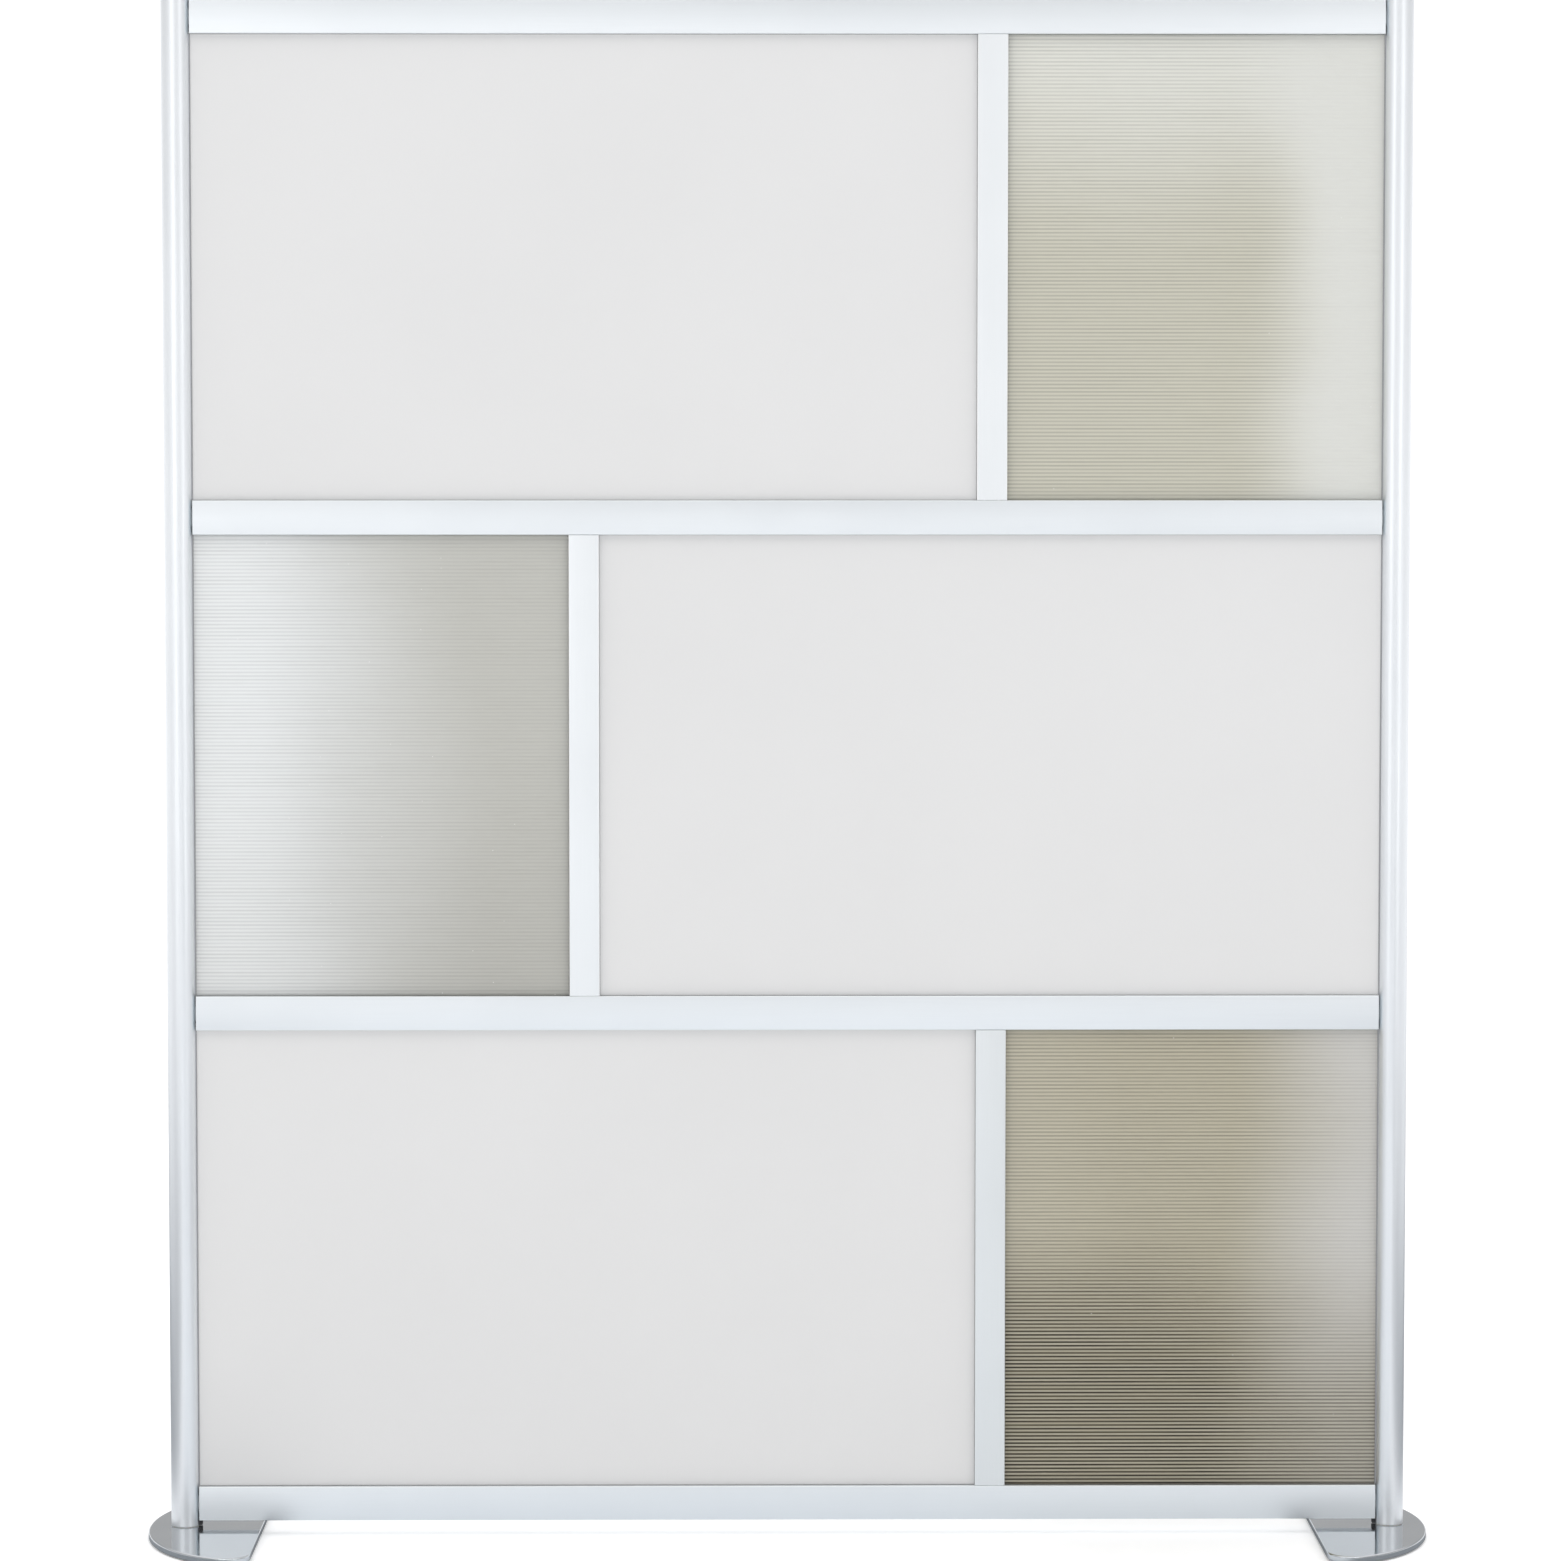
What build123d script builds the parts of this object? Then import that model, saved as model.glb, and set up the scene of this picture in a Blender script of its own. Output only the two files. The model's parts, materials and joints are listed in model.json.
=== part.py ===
from build123d import *
import os

# Free-standing partition wall. Two round posts carry four rails, and three short uprights split each
# row into a wide solid panel and a narrow fluted one. Each post stands on a D-shaped steel foot plate.
# Millimetres. X runs along the wall, Y goes through it with the front towards -Y, Z is up.
# The origin is on the floor, in the middle of the wall.

# ---- Overall sizes ----
wall_width = 1524.0  # across the outsides of the two posts
wall_height = 1905.0  # floor to the top of the post caps
row_count = 3
narrow_bay = 459.0  # clear width beside an upright for a fluted panel

# ---- Posts and their caps ----
post_diameter = 35.0
post_wall = 2.0
boss_diameter = 16.0  # round core that takes the foot bolt
rib_thickness = 2.0  # ribs that hold the core in the middle of the post
slot_lip = 2.5  # depth of the slot's mouth before it widens
slot_channel_depth = 4.5
slot_shoulder = 2.1  # how much wider the channel is than the mouth, each side
slot_web = 1.6  # wall round the channel
post_rise = 21.0  # the cap's top above the top rail
cap_thickness = 4.0
cap_edge = 1.2  # rounding of the cap's rim
cap_pin_length = 18.0

# ---- Rails and uprights ----
rail_height = 42.0
upright_width = 37.0
frame_depth = 22.0  # through the wall, the same for rails and uprights
frame_wall = 1.8
frame_edge = 1.0  # rounding of the long outside edges
groove_depth = 10.0
groove_web = 1.5  # wall round a panel groove
rail_end_gap = 0.4  # between a rail's end and the post
upright_end_gap = 0.3  # hairline joint between an upright and a rail

# ---- Panels ----
solid_thickness = 6.0
fluted_thickness = 4.0
fluted_skin = 0.45
fluted_rib = 0.4
flute_pitch = 4.5

# ---- Gaskets and groove covers ----
gasket_wall = 1.0  # rubber each side of a solid panel
gasket_base = 1.5
gasket_proud = 0.3  # how far the rubber shows past a rail or an upright
post_gasket_proud = 0.6  # how far it shows past a post
foot_gasket_proud = 3.4  # the same below the bottom rail, where no panel presses on it
post_gasket_grip = 6.0  # how deep a panel goes into a post gasket
panel_edge_clearance = 0.5
cover_wall = 1.2

# ---- Connectors ----
connector_length = 40.0
tongue_height = 18.0
screw_diameter = 6.0
screw_length = 7.0
screw_from_end = 24.0

# ---- Feet ----
foot_inward = 95.0  # straight edge from the post's axis
foot_outward = 44.0  # outermost point of the curve from the post's axis
foot_depth = 406.0  # front to back
foot_thickness = 8.0
foot_corner = 28.0
foot_rim = 2.0  # rounding of the upper edge
foot_under_edge = 0.6
rail_to_foot = 8.0  # open gap between the bottom rail and the foot plate
pad_diameter = 22.0
pad_thickness = 2.0
pad_side_inset = 34.0  # end pads from the straight edge
pad_end_inset = 40.0  # end pads from the plate's front and back
pad_curve_inset = 26.0  # middle pads from the outermost point
pad_middle_offset = 60.0  # middle pads from the post's axis, front and back
bolt_diameter = 10.0
bolt_head_diameter = 20.0
bolt_head_height = 5.0
bolt_engagement = 30.0
bolt_socket = 6.0  # across the flats of the hexagon socket
bolt_socket_depth = 3.0
washer_thickness = 0.9
washer_diameter = 33.0

# ---- Clearances ----
swivel_gap = 0.1  # between the foot plate and what stands on it
bore_clearance = 0.05  # round the foot bolt, each side
core_clearance = 0.1  # round what is pushed into a post's core
fit_gap = 0.2  # round parts that slide into an extrusion
gasket_gap = 0.05  # round a rubber strip in its groove
end_gap = 0.3  # at the ends of strips that are cut to length
head_recess = 0.2  # bolt head above the plate's underside

# ---- Values that follow ----
post_radius = post_diameter / 2
post_x = wall_width / 2 - post_radius
foot_top = pad_thickness + foot_thickness
post_bottom = foot_top + swivel_gap + washer_thickness
post_top = wall_height - cap_thickness
rail_bottom = foot_top + rail_to_foot
rail_count = row_count + 1
rows_height = wall_height - post_rise - rail_bottom - rail_count * rail_height
row_opening = rows_height / row_count
row_step = row_opening + rail_height
clear_width = wall_width - 2 * post_diameter
rail_length = clear_width - 2 * rail_end_gap
upright_x = clear_width / 2 - narrow_bay - upright_width / 2
groove_width = solid_thickness + 2 * gasket_wall + 4 * gasket_gap
panel_reach = groove_depth - gasket_gap - gasket_base - panel_edge_clearance
mouth_half = groove_width / 2
channel_half = mouth_half + slot_shoulder
channel_top = post_radius - slot_lip
channel_floor = channel_top - slot_channel_depth

rail_names = ["bottom_rail", "lower_rail", "upper_rail", "top_rail"]
row_names = ["bottom", "middle", "top"]


def rail_low(index):
    """Height of the underside of a rail, counted from the bottom."""
    return rail_bottom + index * row_step


def row_range(row):
    """Lowest and highest point of the opening of a row, counted from the bottom."""
    return rail_low(row) + rail_height, rail_low(row + 1)


def block(x_range, y_range, z_range):
    """A box between two values along each axis."""
    size = [high - low for low, high in (x_range, y_range, z_range)]
    middle = [(low + high) / 2 for low, high in (x_range, y_range, z_range)]
    return Pos(*middle) * Box(*size)


def rectangle(u_range, v_range):
    """A flat rectangle between two values along each direction of the sketch."""
    width = u_range[1] - u_range[0]
    height = v_range[1] - v_range[0]
    return Pos(sum(u_range) / 2, sum(v_range) / 2) * Rectangle(width, height)


def half(value):
    """A range of this width about zero."""
    return -value / 2, value / 2


def mirror_to_right(shape):
    """The same piece for the other end of the wall."""
    return mirror(shape, about=Plane.YZ)


# ---- Posts ----
def post_section():
    """A round tube with a slot that faces +X, a core for the bolt, and ribs between them."""
    tube = Circle(post_radius) - Circle(post_radius - post_wall)
    slot_half = channel_half + slot_web
    slot_walls = rectangle((channel_floor - slot_web, post_radius), (-slot_half, slot_half))
    section = tube + (slot_walls & Circle(post_radius))
    rib = rectangle((0, post_radius - post_wall / 2), half(rib_thickness))
    for angle in (120, 240):
        section += Rot(0, 0, angle) * rib
    section += rectangle((0, channel_floor - slot_web / 2), half(rib_thickness))
    section += Circle(boss_diameter / 2)
    section -= rectangle((channel_floor, channel_top), (-channel_half, channel_half))
    section -= rectangle((channel_top - slot_web, post_diameter), (-mouth_half, mouth_half))
    section -= Circle(bolt_diameter / 2 + core_clearance)
    return section


def make_post():
    return Pos(-post_x, 0, post_bottom) * extrude(post_section(), post_top - post_bottom)


def make_cap():
    """A disc with a rounded rim, and a pin that is pushed into the post's core."""
    disc = extrude(Circle(post_radius), cap_thickness)
    disc = fillet(disc.faces().sort_by(Axis.Z)[-1].edges(), cap_edge)
    pin = Pos(0, 0, -cap_pin_length) * extrude(Circle(bolt_diameter / 2), cap_pin_length)
    pin = chamfer(pin.faces().sort_by(Axis.Z)[0].edges(), cap_edge)
    return Pos(-post_x, 0, post_top) * (disc + pin)


def post_gasket_section(thickness, proud):
    """A strip that fills the post's slot and grips a panel's edge. Its panel side faces +X."""
    root = channel_floor + gasket_gap
    outside = post_radius + proud
    body_half = mouth_half - gasket_gap
    foot_half = channel_half - gasket_gap
    section = rectangle((root, outside), (-body_half, body_half))
    section += rectangle((root, root + gasket_base), (-foot_half, foot_half))
    grip = post_gasket_grip + panel_edge_clearance
    section -= rectangle((outside - grip, outside), half(thickness + 2 * gasket_gap))
    return section


def make_post_gaskets(thicknesses):
    """One strip beside each panel. Short ones fill the slot down to the foot and up to the cap."""
    spans = [(post_bottom - end_gap, rail_bottom, solid_thickness, foot_gasket_proud)]
    for row, thickness in enumerate(thicknesses):
        spans.append((*row_range(row), thickness, post_gasket_proud))
    top_of_rails = rail_low(row_count) + rail_height
    spans.append((top_of_rails, post_top + end_gap, solid_thickness, post_gasket_proud))
    strips = []
    for low, high, thickness, proud in spans:
        length = high - low - 2 * end_gap
        strip = extrude(post_gasket_section(thickness, proud), length)
        strips.append(Pos(-post_x, 0, low + end_gap) * strip)
    return strips


# ---- Rails and uprights ----
def frame_section(width):
    """A hollow section with a panel groove in both narrow sides. The grooves open along the width."""
    outline = fillet(Rectangle(width, frame_depth).vertices(), frame_edge)
    hollow = Rectangle(width - 2 * frame_wall, frame_depth - 2 * frame_wall)
    for side in (-1, 1):
        near = sorted((side * width / 2, side * (width / 2 - groove_depth)))
        wall = sorted((side * width / 2, side * (width / 2 - groove_depth - groove_web)))
        hollow -= rectangle(wall, half(groove_width + 2 * groove_web))
        outline -= rectangle(near, half(groove_width))
    return outline - hollow


def make_rail(index):
    """A rail lies along X. Its section stands in the plane that faces X, grooves up and down."""
    middle = rail_low(index) + rail_height / 2
    plane = Plane(origin=(-rail_length / 2, 0, middle), x_dir=(0, 0, 1), z_dir=(1, 0, 0))
    rail = extrude(plane * frame_section(rail_height), rail_length)
    for side in (-1, 1):
        screw_x = side * (clear_width / 2 - screw_from_end)
        rail -= Pos(screw_x, 0, rail_low(index)) * screw_hole()
    return rail


def screw_hole():
    """Access for a set screw, up through the floor of a lower groove."""
    return extrude(Circle(screw_diameter / 2 + core_clearance), groove_depth + 2 * groove_web)


def row_side(row):
    """The narrow bay is on the right in the bottom and top rows and on the left in the middle one."""
    return -1 if row % 2 else 1


def make_upright(row):
    low, high = row_range(row)
    length = high - low - 2 * upright_end_gap
    section = frame_section(upright_width)
    upright = Pos(row_side(row) * upright_x, 0, low + upright_end_gap) * extrude(section, length)
    for z in (low + screw_from_end, high - screw_from_end):
        depth = upright_width / 2
        hole = Rot(0, 90, 0) * extrude(Circle(screw_diameter / 2 + core_clearance), depth)
        upright -= Pos(row_side(row) * upright_x - depth, 0, z) * hole
    return upright


# ---- Panels ----
def bay_range(row, narrow):
    """Left and right face of a bay: a post on one side and an upright on the other."""
    side = row_side(row) if narrow else -row_side(row)
    upright_side = row_side(row) * upright_x + side * upright_width / 2
    post_side = side * clear_width / 2
    return side, upright_side, post_side


def panel_range(row, narrow):
    """Where a panel starts and ends along X, with both edges inside their gaskets."""
    side, upright_side, post_side = bay_range(row, narrow)
    inner = upright_side - side * panel_reach
    outer = post_side - side * (post_gasket_proud - post_gasket_grip)
    return sorted((inner, outer))


def panel_heights(row):
    low, high = row_range(row)
    return low - panel_reach, high + panel_reach


def make_solid_panel(row):
    return block(panel_range(row, False), half(solid_thickness), panel_heights(row))


def make_fluted_panel(row):
    """Two thin skins joined by ribs that run along X, open at the panel's two ends."""
    left, right = panel_range(row, True)
    low, high = panel_heights(row)
    middle = (low + high) / 2
    flute_count = int((high - low - 2 * fluted_rib) / flute_pitch)
    flute = Rectangle(flute_pitch - fluted_rib, fluted_thickness - 2 * fluted_skin)
    section = Rectangle(high - low, fluted_thickness)
    section -= GridLocations(flute_pitch, 1, flute_count, 1) * flute
    plane = Plane(origin=(left, 0, middle), x_dir=(0, 0, 1), z_dir=(1, 0, 0))
    return extrude(plane * section, right - left)


def channel_strip_section(thickness):
    """Rubber channel round a panel's edge, as it lies in a groove that opens along +X."""
    root = gasket_gap
    outside = groove_depth + gasket_proud
    body = rectangle((root, outside), half(groove_width - 2 * gasket_gap))
    return body - rectangle((root + gasket_base, outside), half(thickness + 2 * gasket_gap))


def make_row_gaskets(row):
    """For each panel: a strip in the rail above, one in the rail below, and one in the upright."""
    strips = []
    low, high = row_range(row)
    for narrow in (False, True):
        thickness = fluted_thickness if narrow else solid_thickness
        section = channel_strip_section(thickness)
        side, upright_side, post_side = bay_range(row, narrow)
        left, right = sorted((upright_side, post_side - side * (post_gasket_proud + end_gap)))
        for base, up in ((low - groove_depth, 1), (high + groove_depth, -1)):
            plane = Plane(origin=(left + end_gap, 0, base), x_dir=(0, 0, up), z_dir=(1, 0, 0))
            strips.append(extrude(plane * section, right - left - 2 * end_gap))
        upright_root = upright_side - side * groove_depth
        foot = low + gasket_proud + end_gap
        plane = Plane(origin=(upright_root, 0, foot), x_dir=(side, 0, 0), z_dir=(0, 0, 1))
        strips.append(extrude(plane * section, high - low - 2 * (gasket_proud + end_gap)))
    return strips


def make_groove_cover(rail_index, up):
    """A snap-in channel that closes the groove that has no panel in it."""
    edge = rail_low(rail_index) + (rail_height if up > 0 else 0)
    outer = half(groove_width - 2 * gasket_gap)
    inner = half(groove_width - 2 * gasket_gap - 2 * cover_wall)
    section = rectangle((0, groove_depth / 2), outer) - rectangle((cover_wall, groove_depth), inner)
    length = rail_length - 2 * end_gap
    plane = Plane(origin=(-length / 2, 0, edge), x_dir=(0, 0, -up), z_dir=(1, 0, 0))
    return extrude(plane * section, length)


# ---- Connectors ----
def make_rail_connector(index):
    """A block inside the rail's end, a tongue through the slot's mouth, and a head behind its lips."""
    middle = rail_low(index) + rail_height / 2
    body_depth = frame_depth - 2 * frame_wall - 2 * fit_gap
    body_height = rail_height - 2 * (groove_depth + groove_web) - 2 * fit_gap
    start = post_radius + rail_end_gap + fit_gap
    heights = (middle - body_height / 2, middle + body_height / 2)
    tongue_heights = (middle - tongue_height / 2, middle + tongue_height / 2)
    body = block((start, start + connector_length), half(body_depth), heights)
    tongue_half = mouth_half - fit_gap
    head_half = channel_half - fit_gap
    tongue = block((channel_floor + fit_gap, start), (-tongue_half, tongue_half), tongue_heights)
    head = block((channel_floor + fit_gap, channel_top - fit_gap), (-head_half, head_half), tongue_heights)
    connector = Pos(-post_x, 0, 0) * (body + tongue + head)
    screw_x = -clear_width / 2 + screw_from_end
    hole = extrude(Circle(screw_diameter / 2 + core_clearance), rail_height / 2)
    return connector - Pos(screw_x, 0, heights[0] - fit_gap) * hole


def make_rail_screws(side):
    """Set screws that stand in the connectors, just inside the groove's floor."""
    screws = []
    for index in range(rail_count):
        base = rail_low(index) + groove_depth + fit_gap
        x = side * (clear_width / 2 - screw_from_end)
        screws.append(Pos(x, 0, base) * set_screw())
    return screws


def set_screw():
    """A short headless screw with a hexagon socket, standing on its socket end."""
    body = extrude(Circle(screw_diameter / 2), screw_length)
    socket = extrude(RegularPolygon(screw_diameter / 4, 6), screw_length / 2)
    return body - socket


def make_upright_connectors(row):
    """Blocks inside both ends of an upright, each with a tongue that sits in the rail's groove."""
    x = row_side(row) * upright_x
    body_width = upright_width - 2 * (groove_depth + groove_web) - 2 * fit_gap
    body_depth = frame_depth - 2 * frame_wall - 2 * fit_gap
    tongue_depth = groove_width - 2 * fit_gap
    low, high = row_range(row)
    connectors = []
    for end, away in ((low, 1), (high, -1)):
        start = end + away * (upright_end_gap + fit_gap)
        stop = start + away * connector_length
        bottom = end - away * (groove_depth - fit_gap)
        x_range = (x - body_width / 2, x + body_width / 2)
        body = block(x_range, half(body_depth), sorted((start, stop)))
        tongue = block(x_range, half(tongue_depth), sorted((bottom, start)))
        hole = Rot(0, 90, 0) * extrude(Circle(screw_diameter / 2 + core_clearance), upright_width / 2)
        hole_start = Pos(x - body_width / 2 - fit_gap, 0, end + away * screw_from_end)
        connectors.append(body + tongue - hole_start * hole)
    return connectors


def make_upright_screws():
    screws = []
    for row in range(row_count):
        low, high = row_range(row)
        x = row_side(row) * upright_x - upright_width / 2 + groove_depth + fit_gap
        for z in (low + screw_from_end, high - screw_from_end):
            screws.append(Pos(x, 0, z) * Rot(0, 90, 0) * set_screw())
    return screws


# ---- Feet ----
def make_foot_plate():
    """Half an ellipse with its straight edge towards the wall's middle, corners and rim rounded."""
    reach = foot_inward + foot_outward
    curve = EllipticalCenterArc((0, 0), reach, foot_depth / 2, start_angle=90, arc_size=180)
    edge = Line(curve @ 1, curve @ 0)
    outline = make_face(Curve() + [curve, edge])
    plate = Pos(foot_inward, 0, pad_thickness) * extrude(outline, foot_thickness)
    corners = plate.edges().filter_by(Axis.Z)
    plate = fillet(corners, foot_corner)
    plate = fillet(plate.faces().sort_by(Axis.Z)[-1].edges(), foot_rim)
    plate = chamfer(plate.faces().sort_by(Axis.Z)[0].edges(), foot_under_edge)
    plate -= Cylinder(bolt_diameter / 2 + bore_clearance, 4 * foot_thickness)
    plate -= Pos(0, 0, swivel_gap) * bolt_head()
    plate -= Pos(0, 0, pad_thickness) * Cylinder(bolt_head_diameter / 2, 2 * (head_recess + swivel_gap))
    return Pos(-post_x, 0, 0) * plate


def bolt_head():
    """The countersunk head with its wide face down, just above the plate's underside."""
    base = pad_thickness + head_recess
    cone_height = bolt_head_height
    cone = Cone(bolt_head_diameter / 2, bolt_diameter / 2, cone_height)
    return Pos(0, 0, base + cone_height / 2) * cone


def make_foot_bolt():
    base = pad_thickness + head_recess
    length = post_bottom + bolt_engagement - base
    shank = Pos(0, 0, base) * extrude(Circle(bolt_diameter / 2), length)
    shank = chamfer(shank.faces().sort_by(Axis.Z)[-1].edges(), bolt_diameter / 10)
    socket = extrude(RegularPolygon(bolt_socket / 2, 6, major_radius=False), bolt_socket_depth)
    return Pos(-post_x, 0, 0) * (shank + bolt_head() - Pos(0, 0, base) * socket)


def make_washer():
    ring = Circle(washer_diameter / 2) - Circle(bolt_diameter / 2 + fit_gap)
    return Pos(-post_x, 0, foot_top + swivel_gap) * extrude(ring, washer_thickness)


def make_foot_pads():
    """Two pads near the ends of the straight edge, and two closer together under the curve."""
    end_x = foot_inward - pad_side_inset
    end_y = foot_depth / 2 - pad_end_inset
    middle_x = -(foot_outward - pad_curve_inset)
    places = [(end_x, end_y), (middle_x, pad_middle_offset)]
    pad = extrude(Circle(pad_diameter / 2), pad_thickness)
    pads = []
    for x, y in places:
        for side in (-1, 1):
            pads.append(Pos(x - post_x, side * y, 0) * pad)
    return pads


# ---- The whole wall ----
nodes = {}


def add_pair(name, left):
    """Keeps a piece for the left end of the wall and its mirror image for the right end."""
    nodes["left_" + name] = left
    if isinstance(left, list):
        nodes["right_" + name] = [mirror_to_right(piece) for piece in left]
    else:
        nodes["right_" + name] = mirror_to_right(left)


add_pair("post", make_post())
add_pair("post_cap", make_cap())
add_pair("foot_plate", make_foot_plate())
add_pair("foot_pads", make_foot_pads())
add_pair("foot_bolt", make_foot_bolt())
add_pair("swivel_washer", make_washer())
add_pair("rail_connectors", [make_rail_connector(index) for index in range(rail_count)])

for index, rail_name in enumerate(rail_names):
    nodes[rail_name] = make_rail(index)

for row, row_name in enumerate(row_names):
    nodes[row_name + "_upright"] = make_upright(row)
    nodes[row_name + "_solid_panel"] = make_solid_panel(row)
    nodes[row_name + "_fluted_panel"] = make_fluted_panel(row)
    nodes[row_name + "_row_gaskets"] = make_row_gaskets(row)

for side, side_name in ((-1, "left"), (1, "right")):
    thicknesses = []
    for row in range(row_count):
        narrow = row_side(row) == side
        thicknesses.append(fluted_thickness if narrow else solid_thickness)
    strips = make_post_gaskets(thicknesses)
    if side > 0:
        strips = [mirror_to_right(strip) for strip in strips]
    nodes[side_name + "_post_gaskets"] = strips
    nodes[side_name + "_rail_screws"] = make_rail_screws(side)

upright_connectors = []
for row in range(row_count):
    upright_connectors += make_upright_connectors(row)
nodes["upright_connectors"] = upright_connectors
nodes["upright_screws"] = make_upright_screws()
nodes["top_groove_cover"] = make_groove_cover(row_count, 1)
nodes["bottom_groove_cover"] = make_groove_cover(0, -1)

os.makedirs("parts", exist_ok=True)
for name, shape in nodes.items():
    if isinstance(shape, list):
        shape = Compound(children=shape)
    shape.label = name
    export_step(shape, "parts/" + name + ".step")
print(len(nodes), "nodes")
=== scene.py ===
# %% [markdown]
# # A free-standing partition wall
# Two round aluminium posts on polished steel feet carry four flat rails. Three short uprights split the
# rows into wide laminate panels and narrow fluted, translucent ones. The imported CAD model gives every
# size and place. This lesson gives it its looks: first the pieces that deserve a finer mesh than a CAD
# export gives, then the finishes, then the studio.

import json
import math

import bpy
import numpy as np
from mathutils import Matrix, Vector

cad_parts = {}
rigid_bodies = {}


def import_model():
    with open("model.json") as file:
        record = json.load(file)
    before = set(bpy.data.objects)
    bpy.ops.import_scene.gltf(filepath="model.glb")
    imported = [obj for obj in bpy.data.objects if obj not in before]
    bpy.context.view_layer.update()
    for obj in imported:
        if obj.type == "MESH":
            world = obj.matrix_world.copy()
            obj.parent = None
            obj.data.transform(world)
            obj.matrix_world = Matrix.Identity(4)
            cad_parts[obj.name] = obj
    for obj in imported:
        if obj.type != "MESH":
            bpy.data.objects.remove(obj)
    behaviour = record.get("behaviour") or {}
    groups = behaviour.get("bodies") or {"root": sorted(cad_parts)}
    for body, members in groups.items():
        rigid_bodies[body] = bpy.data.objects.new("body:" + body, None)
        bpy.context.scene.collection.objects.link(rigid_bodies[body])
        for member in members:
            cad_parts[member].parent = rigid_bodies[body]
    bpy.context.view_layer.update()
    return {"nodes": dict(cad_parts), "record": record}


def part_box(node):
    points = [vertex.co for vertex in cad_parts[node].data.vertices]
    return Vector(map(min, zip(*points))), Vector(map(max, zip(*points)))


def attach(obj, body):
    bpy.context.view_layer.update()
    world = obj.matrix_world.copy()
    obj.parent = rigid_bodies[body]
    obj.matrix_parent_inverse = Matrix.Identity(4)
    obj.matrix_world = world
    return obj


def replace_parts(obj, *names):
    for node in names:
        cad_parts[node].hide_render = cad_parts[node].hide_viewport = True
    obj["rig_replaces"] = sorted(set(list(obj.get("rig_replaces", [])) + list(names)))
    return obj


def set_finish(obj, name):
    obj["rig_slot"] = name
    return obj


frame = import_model()
slot_of = {part["node"]: part["material_slot"] for part in frame["record"]["subparts"]}

# %% [markdown]
# ## Carrying a profile along a path
# Posts, rails and uprights are all aluminium extrusions: metal pushed through a die, so that one section
# runs unchanged from end to end, and then sawn to length. The mesh is made in the same way. A closed
# outline of points is carried along a straight path, and both sawn ends get a small chamfer, which is
# what catches the light on a real cut edge. Bevel modifiers could do this too, but a ring of points that
# is moved inwards along its own normals is exact, and needs no tuning.


# %% Rounded outlines
def rounded(corners, radii, steps=5):
    """An outline with its corners rounded. At each corner the arc's middle lies on the bisector, at
    radius / sin(half the angle) from the corner, and the points go from one touching point to the
    other. Returns the points and a number for each: 1 in the middle of an arc, 0 where it ends."""
    corners = np.asarray(corners, float)
    radii = np.asarray(radii, float)[:, None]
    back = np.roll(corners, 1, axis=0) - corners
    ahead = np.roll(corners, -1, axis=0) - corners
    back /= np.linalg.norm(back, axis=1, keepdims=True)
    ahead /= np.linalg.norm(ahead, axis=1, keepdims=True)
    half_angle = np.arccos(np.clip((back * ahead).sum(1, keepdims=True), -1, 1)) / 2
    bisector = back + ahead
    bisector /= np.linalg.norm(bisector, axis=1, keepdims=True)
    middle = corners + bisector * radii / np.sin(half_angle)
    reach = radii / np.tan(half_angle)
    share = np.linspace(0, 1, steps)[None, :, None]
    start = (corners + back * reach - middle)[:, None, :]
    stop = (corners + ahead * reach - middle)[:, None, :]
    arm = (1 - share) * start + share * stop
    arm *= radii[:, :, None] / np.linalg.norm(arm, axis=2, keepdims=True)
    points = (middle[:, None, :] + arm).reshape(-1, 2)
    crest = np.sin(np.pi * share[0, :, 0])
    return points, np.tile(crest, len(corners))


def outline_normals(points):
    """The outward direction at each point of an outline that runs anticlockwise: the direction from the
    point before to the point after, turned a quarter clockwise."""
    along = np.roll(points, -1, axis=0) - np.roll(points, 1, axis=0)
    along /= np.linalg.norm(along, axis=1, keepdims=True)
    return np.stack([along[:, 1], -along[:, 0]], axis=1)


# %% The extrusion
def extrusion(name, points, crest, span, chamfer, axes):
    """A closed bar. Ring j holds the outline moved inwards by inset j, at height j along the path; the
    first and last rings are inset by the chamfer. axes says which world axes the outline's two
    directions and the path use, in right-handed order, so that all faces point outwards."""
    low, high = span
    heights = np.array([low, low + chamfer, high - chamfer, high])
    insets = np.array([chamfer, 0, 0, chamfer])
    rings = points[None] - outline_normals(points)[None] * insets[:, None, None]
    count = len(points)
    vertices = np.empty((len(heights), count, 3))
    vertices[:, :, axes[0]] = rings[:, :, 0]
    vertices[:, :, axes[1]] = rings[:, :, 1]
    vertices[:, :, axes[2]] = heights[:, None]
    here = np.arange(count)
    there = (here + 1) % count
    ring = np.arange(len(heights) - 1)[:, None] * count
    sides = np.stack([ring + here, ring + there, ring + there + count, ring + here + count], axis=2)
    ends = [here[::-1].tolist(), (here + (len(heights) - 1) * count).tolist()]
    mesh = bpy.data.meshes.new(name)
    mesh.from_pydata(vertices.reshape(-1, 3), [], sides.reshape(-1, 4).tolist() + ends)
    # The edge attribute marks where the finish paints a highlight: the middles of rounded corners, and both
    # chamfered ends.
    edge = np.tile(crest, (len(heights), 1))
    edge[[0, -1]] = 1
    mesh.attributes.new("edge", "FLOAT", "POINT").data.foreach_set("value", edge.ravel())
    mesh.shade_smooth()
    mesh.set_sharp_from_angle(angle=math.radians(30))
    piece = bpy.data.objects.new(name, mesh)
    bpy.context.scene.collection.objects.link(piece)
    return piece


def stands_for(piece, node, body="wall"):
    """Hides the CAD node, and gives the new piece its body and its material slot."""
    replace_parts(piece, node)
    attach(piece, body)
    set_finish(piece, slot_of[node])
    return piece


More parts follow.
